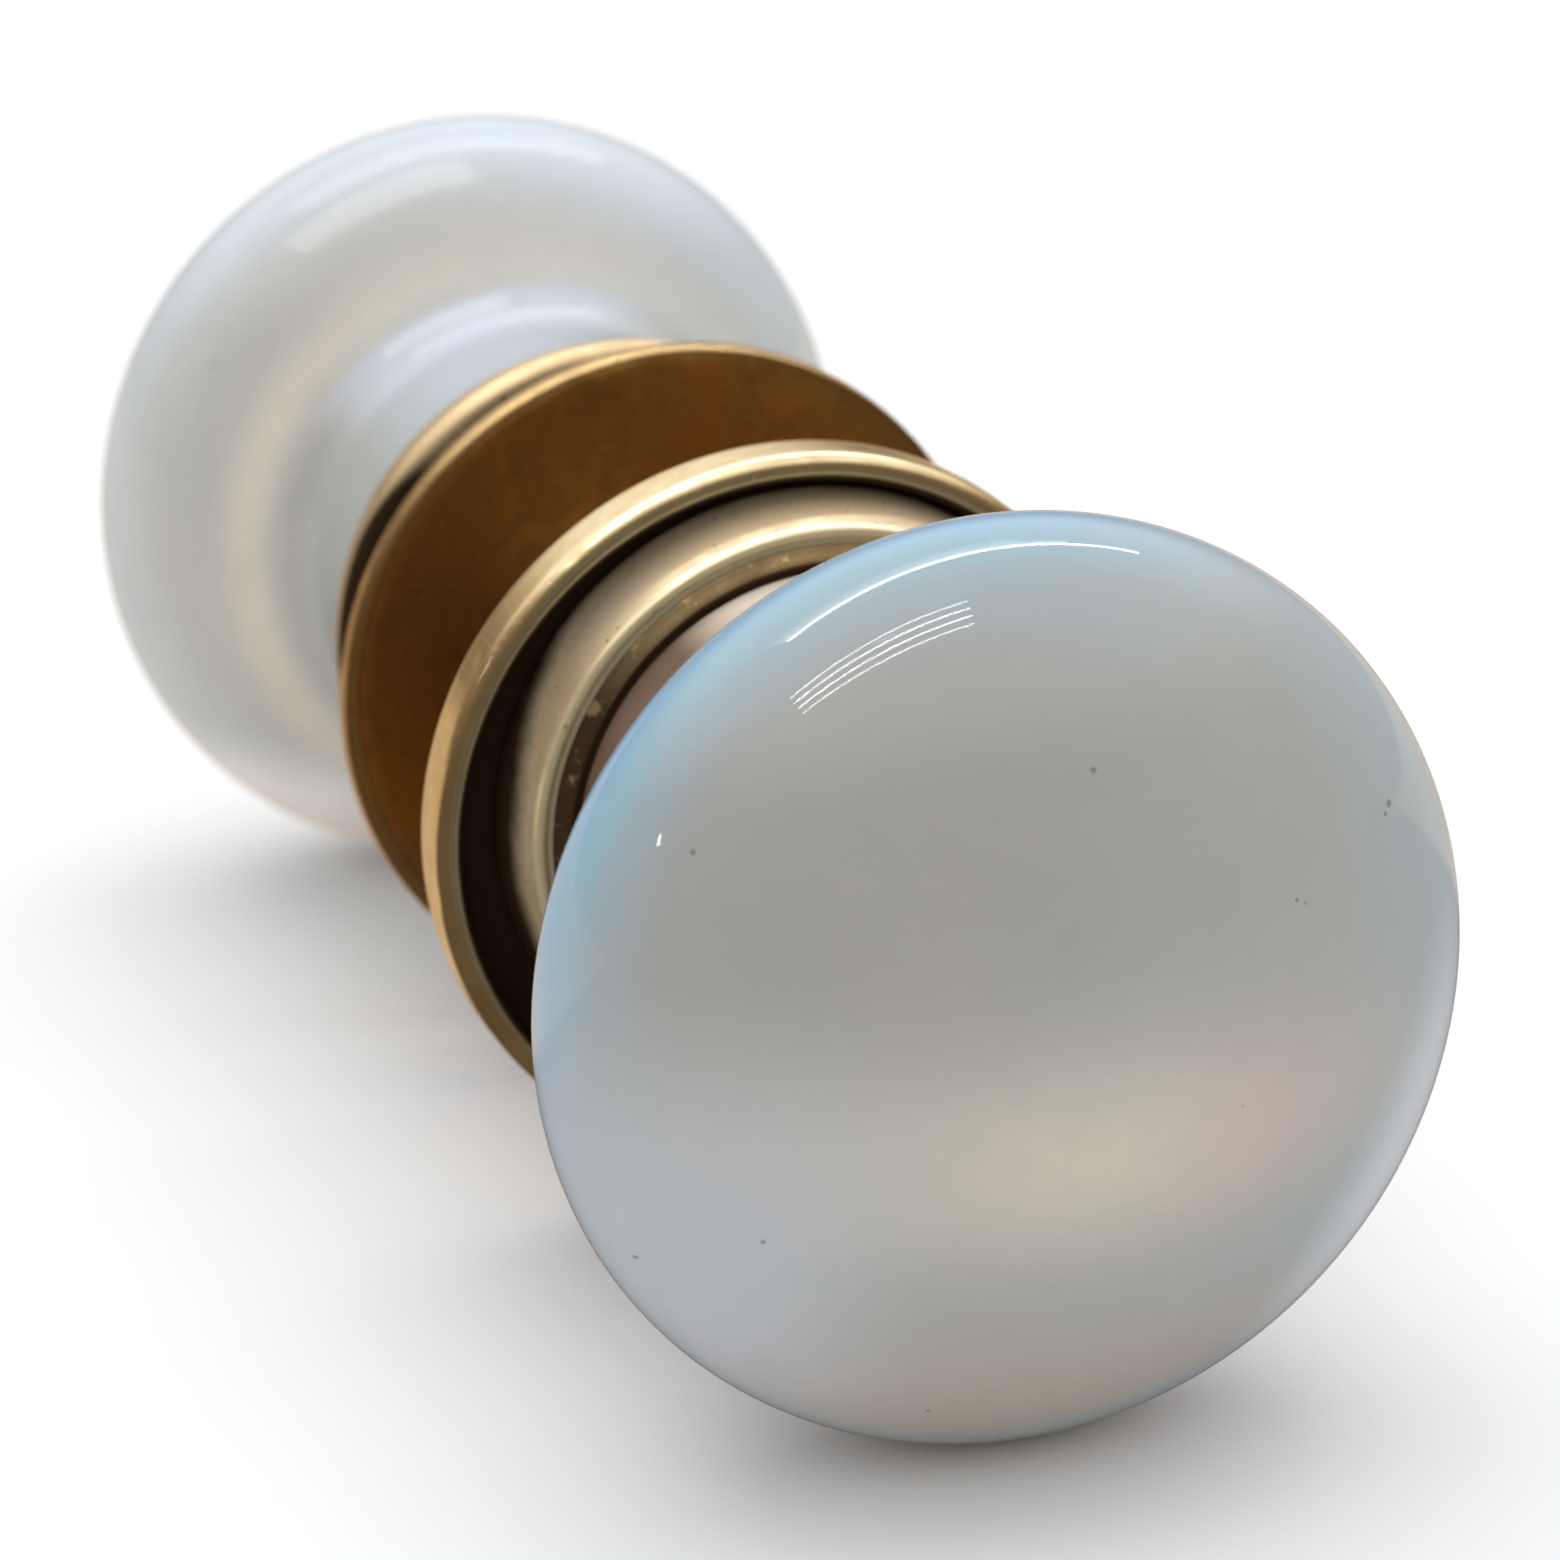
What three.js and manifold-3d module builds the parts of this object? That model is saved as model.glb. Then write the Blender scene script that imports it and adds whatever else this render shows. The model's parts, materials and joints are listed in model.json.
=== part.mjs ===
// Double door-knob set: two opalescent glass knobs on turned brass flanges,
// joined by one square spindle, with a loose dished brass rose at each end.
//
// Frame: millimetres, +Z up. The spindle axis is the Y axis, the front knob is
// towards -Y, and the origin is on the axis half-way between the two knobs.

import * as THREE from 'three';
import { mergeVertices } from 'three/addons/utils/BufferGeometryUtils.js';
import Module from 'manifold-3d';

const wasm = await Module();
wasm.setup();

// --------------------------------------------------------- shared dimensions
// A size ending in _Y is a place along one knob, from its glass centre towards
// the door. A size ending in _R is a radius.
const KNOB_SPACING = 102.1; // glass centre to glass centre
const HALF_SPACING = KNOB_SPACING / 2;

const SPINDLE_SIDE = 8.0; // full size of the square spindle
const SQUARE_HOLE = SPINDLE_SIDE + 0.3; // side of the holes that take the spindle

const SHANK_R = 8.2; // brass stub that runs in the rose
const SHANK_HEAD_R = 8.0; // part of the shank inside the glass
const SHANK_END_Y = 45.7;

const FASTENER_Y = 31.8; // cross pin and grub screw
const PIN_R = 1.25;
const PIN_HOLE_R = PIN_R + 0.15;
const SCREW_R = 1.7;
const SCREW_HOLE_R = SCREW_R + 0.25;

const FINE = 40; // facets round a visible piece
const COARSE = 24; // facets round a hidden piece
const SCREW_FACETS = 20;
const PIN_FACETS = 16;

// ----------------------------------------------------------- geometry helpers
function positionsAndFaces(positions, index) {
  const geometry = new THREE.BufferGeometry();
  geometry.setAttribute('position', new THREE.BufferAttribute(new Float32Array(positions), 3));
  geometry.setIndex(index);
  return geometry;
}

// Welds the seams, drops collapsed triangles and turns the faces outwards.
function clean(geometry) {
  const bare = geometry.clone();
  bare.deleteAttribute('normal');
  bare.deleteAttribute('uv');
  const welded = mergeVertices(bare, 1e-5);
  const position = welded.getAttribute('position');
  const source = welded.getIndex().array;

  const index = [];
  for (let i = 0; i < source.length; i += 3) {
    const [first, second, third] = source.slice(i, i + 3);
    if (first !== second && second !== third && first !== third) {
      index.push(first, second, third);
    }
  }

  // The sign of the enclosed volume tells which way the faces are wound.
  const corner = i => new THREE.Vector3().fromBufferAttribute(position, index[i]);
  let volume = 0;
  for (let i = 0; i < index.length; i += 3) {
    volume += corner(i).dot(corner(i + 1).cross(corner(i + 2)));
  }
  if (volume < 0) {
    for (let i = 0; i < index.length; i += 3) {
      [index[i + 1], index[i + 2]] = [index[i + 2], index[i + 1]];
    }
  }
  return positionsAndFaces(position.array, index);
}

function toManifold(geometry) {
  const cleaned = clean(geometry);
  return new wasm.Manifold(new wasm.Mesh({
    numProp: 3,
    vertProperties: cleaned.getAttribute('position').array,
    triVerts: new Uint32Array(cleaned.getIndex().array),
  }));
}

function fromManifold(solid) {
  const mesh = solid.getMesh();
  return positionsAndFaces(mesh.vertProperties, Array.from(mesh.triVerts));
}

function cut(geometry, ...tools) {
  let solid = toManifold(geometry);
  for (const tool of tools) solid = solid.subtract(toManifold(tool));
  return fromManifold(solid);
}

// Profiles are lists of [distance along Y, radius], turned about the Y axis.
// This one starts and ends on the axis.
function turnedSolid(profile, facets) {
  const points = profile.map(([y, radius]) => new THREE.Vector2(radius, y));
  return clean(new THREE.LatheGeometry(points, facets));
}

// The profile is an open loop clear of the axis; it is closed here.
function turnedRing(profile, facets) {
  return turnedSolid([...profile, profile[0]], facets);
}

// Profile points on a circular arc, angles in degrees from +Y towards +radius.
function arc([centreY, centreR], radius, from, to, steps) {
  const points = [];
  for (let i = 0; i <= steps; i++) {
    const angle = THREE.MathUtils.degToRad(from + (to - from) * i / steps);
    points.push([centreY + radius * Math.cos(angle), centreR + radius * Math.sin(angle)]);
  }
  return points;
}

// Profile points on a cubic Bezier curve, without its start point.
function sweep(start, startHandle, endHandle, end, steps) {
  const points = [];
  for (let i = 1; i <= steps; i++) {
    const done = i / steps;
    const left = 1 - done;
    points.push([0, 1].map(axis => left ** 3 * start[axis]
      + 3 * left * left * done * startHandle[axis]
      + 3 * left * done * done * endHandle[axis]
      + done ** 3 * end[axis]));
  }
  return points;
}

function piece(name, geometry, material) {
  const mesh = new THREE.Mesh(geometry, material);
  mesh.name = name;
  return mesh;
}

// ----------------------------------------------------------------- materials
function standard(color, { roughness, metalness }) {
  return new THREE.MeshStandardMaterial({ color, roughness, metalness });
}
const opal = () => standard(0xb9c2c6, { roughness: 0.08, metalness: 0 });
const plaster = () => standard(0xd8d2c4, { roughness: 0.95, metalness: 0 });
const brass = () => standard(0xb5935a, { roughness: 0.28, metalness: 1 });
const dullBrass = () => standard(0x7a5a2a, { roughness: 0.45, metalness: 1 });
const steel = () => standard(0x6f6c68, { roughness: 0.5, metalness: 1 });

// ----------------------------------------------------------- holes and tools
// Tool along X, right through the shank or the spindle.
function crossHole(y, length) {
  return new THREE.CylinderGeometry(PIN_HOLE_R, PIN_HOLE_R, length, PIN_FACETS)
    .rotateZ(Math.PI / 2)
    .translate(0, y, 0);
}

// Tool along Z, through the underside only.
function screwHole() {
  const length = 24;
  const centreZ = -14;
  return new THREE.CylinderGeometry(SCREW_HOLE_R, SCREW_HOLE_R, length, SCREW_FACETS)
    .rotateX(Math.PI / 2)
    .translate(0, FASTENER_Y, centreZ);
}

// Blind hole for the spindle, from the door end of the shank.
function squareHole() {
  const bottomY = 18.0;
  const overrun = 2;
  const length = SHANK_END_Y + overrun - bottomY;
  return new THREE.BoxGeometry(SQUARE_HOLE, length, SQUARE_HOLE)
    .translate(0, bottomY + length / 2, 0);
}

// ------------------------------------------------------- one half of the set
// Drawn with the glass centre at the origin and the door towards +Y.
const GLASS_R = 27.5; // bun, largest radius
const GLASS_HALF_DEPTH = 15.33; // bun, centre to crown
const BUN_ANGLES = [-90, -78, -65, -52, -39, -26, -13, 0, 14, 28, 42]; // crown to neck side
const NECK_START = [17.5, 16.1]; // [y, radius] where the straight neck starts
const GLASS_END_Y = 28.6; // foot of the neck, inside the ferrule
const GLASS_END_R = 16.0;
const SEAT_Y = 26.85; // floor of the recess for the anchor disc
const SEAT_R = 14.5;
const SOCKET_Y = 15.9; // bottom of the moulded socket for the shank head
const SOCKET_R = 9.4;
const GROOVE_Y = [20.4, 23.2]; // mouth of the locking groove
const CEMENT_GAP = 0.15; // between the plaster and the glass or shank

const FERRULE_BACK_Y = 29.35;
const FERRULE_R = 17.3;
const FLANGE_FRONT_Y = 29.5;
const FLANGE_BASE_Y = 34.2; // flat face that runs on the rose
const FLANGE_BASE_R = 19.62;
const FLANGE_BORE_R = SHANK_R + 0.2;

// Opal glass: bun with a slightly hollow run into a straight neck, and a
// moulded socket with one locking groove.
function glassKnob() {
  const bun = BUN_ANGLES.map(degrees => {
    const angle = THREE.MathUtils.degToRad(degrees);
    return [GLASS_HALF_DEPTH * Math.sin(angle), GLASS_R * Math.cos(angle)];
  });
  bun[0][1] = 0; // crown exactly on the axis
  const [bunEndY, bunEndR] = bun.at(-1);
  const [neckY, neckR] = NECK_START;
  return turnedSolid([
    ...bun,
    ...sweep(bun.at(-1), [bunEndY + 1.7, bunEndR - 2.75], [neckY - 3.55, neckR], NECK_START, 4),
    [GLASS_END_Y, GLASS_END_R], [GLASS_END_Y, SEAT_R],
    [SEAT_Y, SEAT_R], [SEAT_Y, SOCKET_R],
    [GROOVE_Y[1], SOCKET_R], [22.7, 10.5], [20.9, 10.5], [GROOVE_Y[0], SOCKET_R],
    [SOCKET_Y, SOCKET_R], [SOCKET_Y, 0],
  ], FINE);
}

// Plaster setting: fills the socket round the shank head and keys into the groove.
function cementBed() {
  const startY = 18.0;
  const endY = SEAT_Y - CEMENT_GAP;
  const innerR = SHANK_HEAD_R + CEMENT_GAP;
  const outerR = SOCKET_R - CEMENT_GAP;
  return turnedRing([
    [startY, innerR], [endY, innerR], [endY, outerR],
    [GROOVE_Y[1] - CEMENT_GAP, outerR], [22.6, 10.3],
    [21.0, 10.3], [GROOVE_Y[0] + CEMENT_GAP, outerR],
    [startY, outerR],
  ], COARSE);
}

// Brass neck ferrule: a shallow ring with a lip that holds the foot of the glass.
function neckFerrule() {
  const boreR = 11.0;
  const floorY = 28.8;
  const lipInnerR = 16.2;
  return turnedRing([
    [28.3, lipInnerR], [28.15, 16.4], [28.3, 16.7], [29.0, 16.95],
    [29.2, FERRULE_R], [FERRULE_BACK_Y, FERRULE_R],
    [FERRULE_BACK_Y, boreR], [floorY, boreR], [floorY, lipInnerR],
  ], FINE);
}

// Brass anchor disc riveted on the shank, in the recess of the glass foot.
function anchorDisc() {
  const nearY = 27.0;
  const farY = 28.2;
  const outerR = 14.25;
  return turnedRing([[nearY, SHANK_R], [nearY, outerR], [farY, outerR], [farY, SHANK_R]], COARSE);
}

// Turned brass base flange with a rounded shoulder and a bellied wall.
function baseFlange() {
  const shoulder = arc([FLANGE_FRONT_Y, 18.05], 0.42, 200, 127, 2);
  return turnedRing([
    [FLANGE_FRONT_Y, FLANGE_BORE_R], [FLANGE_FRONT_Y, 17.5], [FERRULE_BACK_Y, 17.62],
    ...shoulder,
    ...sweep(shoulder.at(-1), [30.3, 19.05], [32.0, 19.58], [33.6, FLANGE_BASE_R], 3),
    [34.05, 19.45], [FLANGE_BASE_Y, 19.15], [FLANGE_BASE_Y, FLANGE_BORE_R],
  ], FINE);
}

// Turned brass shank before drilling: head in the plaster, collar, and stub
// through the rose.
function shankBody() {
  const headY = 16.7;
  const headChamfer = 0.6;
  const endChamfer = 0.5;
  const collarY = [28.4, 29.2];
  const collarR = 10.6;
  return turnedSolid([
    [headY, 0], [headY, SHANK_HEAD_R - headChamfer], [headY + headChamfer, SHANK_HEAD_R],
    [collarY[0], SHANK_HEAD_R], [collarY[0], collarR], [collarY[1], collarR],
    [collarY[1], SHANK_R],
    [SHANK_END_Y - endChamfer, SHANK_R], [SHANK_END_Y, SHANK_R - endChamfer], [SHANK_END_Y, 0],
  ], COARSE);
}

// The front knob is cross-pinned through its shank; the rear knob has a grub
// screw through both flange and shank.
function knobEnd(side) {
  const front = side === 'front';
  const flange = front ? baseFlange() : cut(baseFlange(), screwHole());
  const fastenerHole = front ? crossHole(FASTENER_Y, 30) : screwHole();
  const shank = cut(shankBody(), squareHole(), fastenerHole);

  const group = new THREE.Group();
  group.position.y = front ? -HALF_SPACING : HALF_SPACING;
  if (!front) group.rotation.z = Math.PI;
  group.add(
    piece(`${side}_glass_knob`, glassKnob(), opal()),
    piece(`${side}_cement_bed`, cementBed(), plaster()),
    piece(`${side}_neck_ferrule`, neckFerrule(), brass()),
    piece(`${side}_anchor_disc`, anchorDisc(), dullBrass()),
    piece(`${side}_base_flange`, flange, brass()),
    piece(`${side}_shank`, shank, brass()),
  );
  return group;
}

// --------------------------------------------------------------------- roses
// Drawn with the back face in the plane y = 0 and the rim towards +Y.
const ROSE_FLOOR = 1.75; // back face to dish floor
const ROSE_PLATE = 0.95; // thickness of the dish floor
const ROSE_HOLE_R = 10.0;
const BACK_DISC_R = 21.25;
const BACK_DISC_THICKNESS = 0.6;
const BACK_RECESS_R = BACK_DISC_R + 0.15;

// Where each loose rose lies: x and z off the axis, y of its back face.
const ROSE_PLACES = {
  front: { x: -0.85, y: -14.75, z: -0.73 },
  rear: { x: -0.1, y: 5.93, z: 0 },
};

// Outer profile of the front rose, from back edge to dish floor: a thick rolled rim.
function frontRim() {
  const outerR = 22.95;
  const depth = 4.5; // back face to crest of the rim
  const backEdge = 1.3; // rounding radius
  const rim = 1.8; // thickness of the rolled rim
  const crest = rim / 2;
  const fillet = 0.35;
  const innerR = outerR - rim;
  return [
    ...arc([backEdge, outerR - backEdge], backEdge, 180, 90, 3),
    ...arc([depth - crest, outerR - crest], crest, 90, -90, 5),
    [ROSE_FLOOR + fillet, innerR], [ROSE_FLOOR, innerR - fillet],
  ];
}

// The rear rose is a little smaller, with a thin edge and a raised bead inside it.
function rearRim() {
  const outerR = 22.3;
  const edge = 0.9; // rounding radius
  const bead = 0.65; // bead radius
  const beadCentreR = 20.6;
  const beadFootY = 1.95;
  return [
    // The arc would start on the edge of the back recess, which is already there.
    ...arc([edge, outerR - edge], edge, 180, 20, 5).slice(1),
    [beadFootY, 21.2],
    ...arc([2.75, beadCentreR], bead, 110, -90, 5),
    [beadFootY, beadCentreR - bead], [ROSE_FLOOR, 19.75],
  ];
}

function roseShell(rim) {
  const plateBack = ROSE_FLOOR - ROSE_PLATE;
  return turnedRing([
    [plateBack, ROSE_HOLE_R], [plateBack, BACK_RECESS_R], [0, BACK_RECESS_R],
    ...rim,
    [ROSE_FLOOR, ROSE_HOLE_R],
  ], FINE);
}

function roseBackDisc() {
  const boreR = ROSE_HOLE_R + 0.2;
  const chamfer = 0.15;
  return turnedRing([
    [0, boreR], [0, BACK_DISC_R - chamfer], [chamfer, BACK_DISC_R],
    [BACK_DISC_THICKNESS, BACK_DISC_R], [BACK_DISC_THICKNESS, boreR],
  ], FINE);
}

function rose(side) {
  const front = side === 'front';
  const { x, y, z } = ROSE_PLACES[side];
  const group = new THREE.Group();
  group.position.set(x, y, z);
  if (front) group.rotation.z = Math.PI;
  group.add(
    piece(`${side}_rose`, roseShell(front ? frontRim() : rearRim()), brass()),
    piece(`${side}_rose_back_disc`, roseBackDisc(), dullBrass()),
  );
  return group;
}

// ------------------------------------------------------ spindle and hardware
const SPINDLE_MIDDLE = 8.0; // length left at full size, where the lock follower sits
const SPINDLE_END_SIDE = 7.9; // ends eased to slide in the shanks
const SPINDLE_LENGTH = 64.1;
const SPINDLE_CHAMFER = 0.5;
const PIN_LENGTH = 15.8;
const PIN_Y_IN_SET = -HALF_SPACING + FASTENER_Y;
const SCREW_TIP = 4.35; // tip to axis
const SCREW_HEAD = 14.8; // slotted end to axis
const WASHER_R = 7.6;
const WASHER_THICKNESS = 0.8;
const WASHER_GAP = 0.3; // shank end to washer

// Square bar along Y with chamfered edges, centred on the origin.
function squareBar(side, length) {
  const half = side / 2;
  const flat = half - SPINDLE_CHAMFER;
  const outline = [
    [-flat, -half], [flat, -half], [half, -flat], [half, flat],
    [flat, half], [-flat, half], [-half, flat], [-half, -flat],
  ];
  const shape = new THREE.Shape(outline.map(([x, z]) => new THREE.Vector2(x, z)));
  return new THREE.ExtrudeGeometry(shape, { depth: length, bevelEnabled: false })
    .rotateX(-Math.PI / 2)
    .translate(0, -length / 2, 0);
}

// Full size in the middle, eased ends, and a cross hole for the fixed front knob.
function spindle() {
  const solid = toManifold(squareBar(SPINDLE_END_SIDE, SPINDLE_LENGTH))
    .add(toManifold(squareBar(SPINDLE_SIDE, SPINDLE_MIDDLE)))
    .subtract(toManifold(crossHole(PIN_Y_IN_SET, 20)));
  return fromManifold(solid);
}

// Pin along X with chamfered ends.
function crossPin() {
  const half = PIN_LENGTH / 2;
  const chamfer = 0.3;
  return turnedSolid([
    [-half, 0], [-half, PIN_R - chamfer], [-half + chamfer, PIN_R],
    [half - chamfer, PIN_R], [half, PIN_R - chamfer], [half, 0],
  ], PIN_FACETS).rotateZ(Math.PI / 2).translate(0, PIN_Y_IN_SET, 0);
}

// Slotted grub screw of the adjustable rear knob, pointing up from below.
function grubScrew() {
  const length = SCREW_HEAD - SCREW_TIP;
  const chamfer = 0.3;
  const screw = turnedSolid([
    [0, 0], [0, 0.9], [0.8, SCREW_R],
    [length - chamfer, SCREW_R], [length, SCREW_R - chamfer], [length, 0],
  ], SCREW_FACETS);
  const slot = new THREE.BoxGeometry(0.6, 2.4, 6).translate(0, length, 0);
  return cut(screw, slot)
    .rotateX(-Math.PI / 2)
    .translate(0, HALF_SPACING - FASTENER_Y, -SCREW_TIP);
}

// Square-holed washer on the spindle that takes up end play beside a shank.
function packingWasher(y) {
  const disc = new THREE.CylinderGeometry(WASHER_R, WASHER_R, WASHER_THICKNESS, COARSE);
  const hole = new THREE.BoxGeometry(SQUARE_HOLE, 4, SQUARE_HOLE);
  return cut(disc, hole).translate(0, y, 0);
}

// ------------------------------------------------------------------ assembly
const washerY = HALF_SPACING - SHANK_END_Y - WASHER_GAP - WASHER_THICKNESS / 2;

const object = new THREE.Group();
object.add(
  knobEnd('front'),
  knobEnd('rear'),
  rose('front'),
  rose('rear'),
  piece('spindle', spindle(), steel()),
  piece('front_cross_pin', crossPin(), steel()),
  piece('rear_grub_screw', grubScrew(), steel()),
  piece('front_packing_washer', packingWasher(-washerY), steel()),
  piece('rear_packing_washer', packingWasher(washerY), steel()),
);

export default object;
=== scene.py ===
"""A pair of opal glass door knobs on a square steel spindle, with brass roses.

The spindle lies along Y. The front knob faces -Y and the rear knob +Y, and +Z is up.
Profiles are in millimetres, scene places in metres. "front" and "rear" name the two ends.
"""
import json
import math

import bmesh
import bpy
import numpy as np
from mathutils import Matrix, Vector, noise

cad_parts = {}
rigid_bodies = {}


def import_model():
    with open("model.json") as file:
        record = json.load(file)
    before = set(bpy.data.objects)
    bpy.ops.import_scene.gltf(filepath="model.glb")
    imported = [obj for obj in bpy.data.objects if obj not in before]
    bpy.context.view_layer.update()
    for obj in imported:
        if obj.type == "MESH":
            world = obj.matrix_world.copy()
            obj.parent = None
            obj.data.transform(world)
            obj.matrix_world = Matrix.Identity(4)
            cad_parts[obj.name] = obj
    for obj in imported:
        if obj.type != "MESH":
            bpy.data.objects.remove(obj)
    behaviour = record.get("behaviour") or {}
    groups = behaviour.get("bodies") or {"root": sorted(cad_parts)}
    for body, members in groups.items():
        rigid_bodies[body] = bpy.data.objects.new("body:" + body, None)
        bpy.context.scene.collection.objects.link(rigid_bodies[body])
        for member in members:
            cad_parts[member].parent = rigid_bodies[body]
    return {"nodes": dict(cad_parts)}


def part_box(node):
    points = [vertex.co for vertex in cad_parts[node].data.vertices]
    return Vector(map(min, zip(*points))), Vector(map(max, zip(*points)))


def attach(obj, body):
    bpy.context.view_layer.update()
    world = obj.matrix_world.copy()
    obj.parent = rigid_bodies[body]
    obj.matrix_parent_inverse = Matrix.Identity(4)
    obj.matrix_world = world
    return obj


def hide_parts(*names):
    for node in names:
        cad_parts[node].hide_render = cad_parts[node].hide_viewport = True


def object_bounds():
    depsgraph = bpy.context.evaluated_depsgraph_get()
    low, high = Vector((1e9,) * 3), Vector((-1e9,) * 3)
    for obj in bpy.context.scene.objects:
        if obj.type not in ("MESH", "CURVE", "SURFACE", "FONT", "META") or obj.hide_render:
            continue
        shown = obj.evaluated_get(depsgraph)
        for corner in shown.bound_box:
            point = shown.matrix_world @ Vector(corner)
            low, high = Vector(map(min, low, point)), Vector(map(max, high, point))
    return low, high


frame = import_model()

cad_lo, cad_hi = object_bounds()
MM = 0.001
PER_METRE = 1000.0
SCENE = bpy.context.scene
TAU = 2 * math.pi

# ----------------------------------------------------------------------------
# dimensions (mm)
# ----------------------------------------------------------------------------
front_glass_lo, front_glass_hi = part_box("front_glass_knob")
GLASS_RADIUS = (front_glass_hi.x - front_glass_lo.x) / 2 / MM
HALF_DEPTH = 15.33      # from the middle of a glass bun to its face

# each end is drawn from the middle of its glass, with t running towards the door
SIGN = {"front": 1, "rear": -1}
CENTRE_Y = {
    "front": front_glass_lo.y / MM + HALF_DEPTH,
    "rear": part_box("rear_glass_knob")[1].y / MM - HALF_DEPTH,
}
SHANK_END = (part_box("front_shank")[1].y / MM) - CENTRE_Y["front"]

NECK_RADIUS = 16.1      # glass neck
NECK_START = 17.5
FLANGE_RADIUS = 19.60
FLANGE_END = 34.2

FIXING_T = 31.8         # the holes across the shanks
PIN_HOLE_RADIUS = 1.4
SCREW_HOLE_RADIUS = 1.95
SCREW_HOLE_DEPTH = 24
SCREW_HOLE_Z = -14      # middle of the cut

SOCKET_HALF = 4.15      # square hole for the spindle
SOCKET_START = 18.0
SOCKET_OVERRUN = 2      # how far the cutter goes past the end of the shank

ROSE_HOLE_RADIUS = 10.0
REAR_DISC_SHIFT = (0.28, 0.22)      # x and z of the rear disc inside its rose


# ----------------------------------------------------------------------------
# profiles: lists of (t, r), t along the spindle, r from the axis
# ----------------------------------------------------------------------------
def arc(t, r, radius, start, end, steps):
    """Arc about (t, r), angles in degrees."""
    angles = [math.radians(start + (end - start) * i / steps) for i in range(steps + 1)]
    return [(t + radius * math.cos(a), r + radius * math.sin(a)) for a in angles]


def bezier(start, pull_start, pull_end, end, steps):
    """Cubic curve, without its first point."""
    out = []
    for i in range(1, steps + 1):
        s = i / steps
        q = 1 - s
        out.append(tuple(q ** 3 * start[k] + 3 * q * q * s * pull_start[k]
                         + 3 * q * s * s * pull_end[k] + s ** 3 * end[k] for k in (0, 1)))
    return out


def fillet(points, closed=True, steps=5):
    """points: (t, r) or (t, r, radius). Corners with a radius are rounded by an arc."""
    count = len(points)
    out = []
    for i, point in enumerate(points):
        wanted = point[2] if len(point) > 2 else 0.0
        if wanted <= 0 or (not closed and i in (0, count - 1)):
            out.append((point[0], point[1]))
            continue
        corner = np.array(point[:2], float)
        back = np.array(points[(i - 1) % count][:2], float) - corner
        ahead = np.array(points[(i + 1) % count][:2], float) - corner
        back_length, ahead_length = np.linalg.norm(back), np.linalg.norm(ahead)
        back, ahead = back / back_length, ahead / ahead_length
        half = math.acos(float(np.clip(back @ ahead, -1, 1))) / 2
        # a fillet never takes more than half of a side
        reach = min(wanted / math.tan(half), 0.49 * back_length, 0.49 * ahead_length)
        radius = reach * math.tan(half)
        bisector = (back + ahead) / np.linalg.norm(back + ahead)
        centre = corner + bisector * (radius / math.sin(half))
        first, last = corner + back * reach - centre, corner + ahead * reach - centre
        start = math.atan2(first[1], first[0])
        turn = (math.atan2(last[1], last[0]) - start + math.pi) % TAU - math.pi
        for k in range(steps + 1):
            angle = start + turn * k / steps
            out.append((centre[0] + radius * math.cos(angle),
                        centre[1] + radius * math.sin(angle)))
    return out


def refine(points, longest, closed=True):
    """Splits straight runs longer than `longest`, and drops doubled points."""
    same = 1e-5
    out = []
    count = len(points)
    for i in range(count if closed else count - 1):
        a, b = points[i], points[(i + 1) % count]
        out.append(a)
        extra = int(math.hypot(b[0] - a[0], b[1] - a[1]) / longest)
        for j in range(1, extra + 1):
            s = j / (extra + 1)
            out.append((a[0] + (b[0] - a[0]) * s, a[1] + (b[1] - a[1]) * s))
    if not closed:
        out.append(points[-1])
    clean = [out[0]]
    for point in out[1:]:
        if math.hypot(point[0] - clean[-1][0], point[1] - clean[-1][1]) > same:
            clean.append(point)
    if closed and math.hypot(clean[0][0] - clean[-1][0], clean[0][1] - clean[-1][1]) < same:
        clean.pop()
    return clean


# ----------------------------------------------------------------------------
# meshes
# ----------------------------------------------------------------------------
def link(mesh, name, location=(0, 0, 0)):
    obj = bpy.data.objects.new(name, mesh)
    obj.location = location
    SCENE.collection.objects.link(obj)
    return obj


def shade(obj):
    """Smooth faces, with sharp edges above 32 degrees."""
    for face in obj.data.polygons:
        face.use_smooth = True
    obj.data.set_sharp_from_angle(angle=math.radians(32))


def face_outward(bm):
    if bm.calc_volume(signed=True) < 0:
        bmesh.ops.reverse_faces(bm, faces=bm.faces)


def lathe(name, profile, segments, place, closed, displace=None):
    """Mesh of a turned solid. place(a, t, b) gives the vertex, in metres, for the point t mm
    along the axis and (a, b) mm across it. Points on the axis become a single vertex."""
    verts, faces, rings = [], [], []
    for t, r in profile:
        if r < 1e-6:
            rings.append([len(verts)])
            verts.append(place(0.0, t, 0.0))
            continue
        ring = []
        for k in range(segments):
            angle = TAU * k / segments
            ring_r, ring_t = displace(r, t, angle) if displace else (r, t)
            ring.append(len(verts))
            verts.append(place(ring_r * math.cos(angle), ring_t, ring_r * math.sin(angle)))
        rings.append(ring)
    for i in range(len(rings) if closed else len(rings) - 1):
        a, b = rings[i], rings[(i + 1) % len(rings)]
        for k in range(segments):
            k2 = (k + 1) % segments
            if len(a) == 1:
                faces.append((a[0], b[k], b[k2]))
            elif len(b) == 1:
                faces.append((a[k], b[0], a[k2]))
            else:
                faces.append((a[k], b[k], b[k2], a[k2]))
    mesh = bpy.data.meshes.new(name)
    mesh.from_pydata(verts, [], faces)
    bm = bmesh.new()
    bm.from_mesh(mesh)
    face_outward(bm)
    bm.to_mesh(mesh)
    bm.free()
    mesh.update()
    return mesh


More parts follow.
